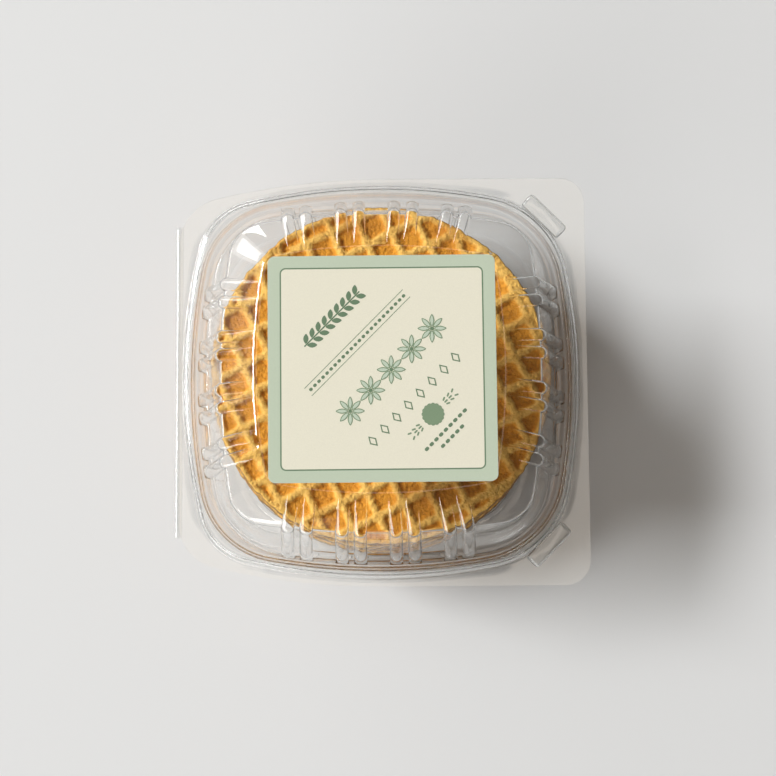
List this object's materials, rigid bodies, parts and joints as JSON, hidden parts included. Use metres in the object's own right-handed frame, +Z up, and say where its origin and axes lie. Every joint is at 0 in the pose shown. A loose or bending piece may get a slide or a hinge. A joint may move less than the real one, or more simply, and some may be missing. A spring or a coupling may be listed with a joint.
{
  "type": "hinged clear tub of pizzelle wafers",
  "caption": "Clear hinged food tub with fluted walls, a domed snap lid and a square paper label, holding a stack of round wafers with a waffle lattice.",
  "frame": {"origin": "middle of the bounding box's lowest face, on the surface that the tub stands on", "axes": "+Z up through the label, +X from the hinge towards the snap bars, +Y to the back"},
  "size_m": [0.1544, 0.1536, 0.074],
  "materials": {
    "clear_plastic": "clear, glossy thermoformed sheet",
    "label_paper": "coated cream paper with a sage green border",
    "wafer": "baked golden wafer, brown in the pits"
  },
  "bodies": {
    "tray": {"tray": "clear_plastic", "hinge_strip": "clear_plastic", "pizzella_01": "wafer", "pizzella_02": "wafer", "pizzella_03": "wafer", "pizzella_04": "wafer", "pizzella_05": "wafer", "pizzella_06": "wafer", "pizzella_07": "wafer", "pizzella_08": "wafer", "pizzella_09": "wafer", "pizzella_10": "wafer", "pizzella_11": "wafer"},
    "lid": {"lid": "clear_plastic", "label": "label_paper"}
  },
  "joints": [
    {"name": "lid_hinge", "type": "hinge", "parent": "tray", "child": "lid", "pos_m": [-0.07665, 0, 0.038], "axis": [0, -1, 0], "range_deg": [0, 180]}
  ]
}
